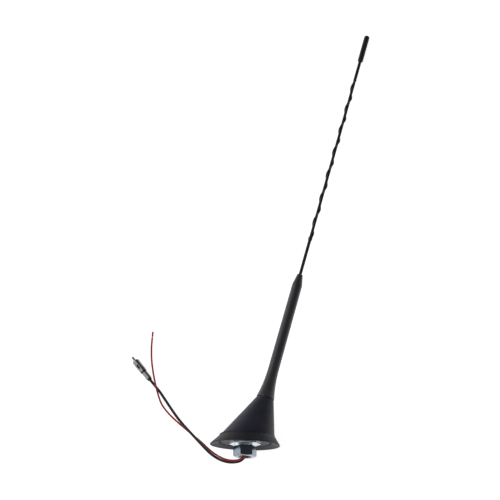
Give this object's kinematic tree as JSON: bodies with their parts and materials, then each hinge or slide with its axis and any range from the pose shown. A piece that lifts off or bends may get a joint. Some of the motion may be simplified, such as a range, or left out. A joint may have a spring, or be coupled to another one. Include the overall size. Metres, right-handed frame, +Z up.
{
  "type": "car antenna",
  "caption": "Roof antenna for a car: slender helically wound whip in a flexible boot on a leaning amplifier foot, with sealing skirt, clamp nut, aerial lead with plug and supply lead.",
  "frame": {"origin": "centre of the roof seating plane, on the clamp stud's axis", "axes": "-Y along the clamp stud into the roof and +Y out of it towards the mast, +X the way the mast leans, +Z up from the surface the loose antenna lies on"},
  "size_m": [0.2624, 0.5059, 0.0548],
  "materials": {
    "foot_plastic": "fine grained",
    "black_rubber": "matt",
    "zinc_plate": "bright zinc plated steel",
    "cast_alloy": "die cast",
    "steel": "zinc plated",
    "board_laminate": "lacquered",
    "board_black": "moulded",
    "brass": "turned",
    "glass_fibre": "ground rod",
    "sheath_black": "shrunk tube",
    "cap_black": "moulded",
    "coax_black": "smooth jacket",
    "wire_red": "smooth jacket",
    "nickel": "nickel plated brass",
    "plug_black": "moulded"
  },
  "bodies": {
    "base": {"foot_housing": "foot_plastic", "roof_gasket": "black_rubber", "cable_grommet": "black_rubber", "plug_bush": "black_rubber", "claw_washer": "zinc_plate", "clamp_nut": "zinc_plate", "base_plate": "cast_alloy", "base_screws": "steel", "threaded_stud": "steel", "amplifier_board": "board_laminate", "board_parts": "board_black", "mast_socket": "brass", "contact_strip": "brass", "wire_strands": "brass", "coax_cable": "coax_black", "coax_inner": "coax_black", "power_wire": "wire_red", "power_inner": "wire_red", "wire_end_slug": "wire_red", "plug_sleeve": "nickel", "plug_barrel": "nickel", "plug_pin": "nickel", "plug_collar": "plug_black", "plug_insulator": "plug_black"},
    "mast_seal": {"mast_seal_ring": "black_rubber"},
    "mast": {"mast_ferrule": "brass", "grip_boot": "black_rubber", "core_rod": "glass_fibre", "antenna_winding": "brass", "mast_sheath": "sheath_black", "tip_cap": "cap_black"}
  },
  "joints": [
    {"name": "mast_lift", "type": "slide", "parent": "base", "child": "mast_seal", "axis": [0.2521, 0.9666, -0.0459], "range_m": [0, 0.0064]},
    {"name": "mast_turn", "type": "hinge", "parent": "mast_seal", "child": "mast", "pos_m": [0.02105, 0.0519, -0.00384], "axis": [0.2521, 0.9666, -0.0459], "range_deg": [0, 2881]}
  ],
  "couplings": [
    {"joint": "mast_turn", "follows": "mast_lift", "rad_per_m": 7854}
  ]
}
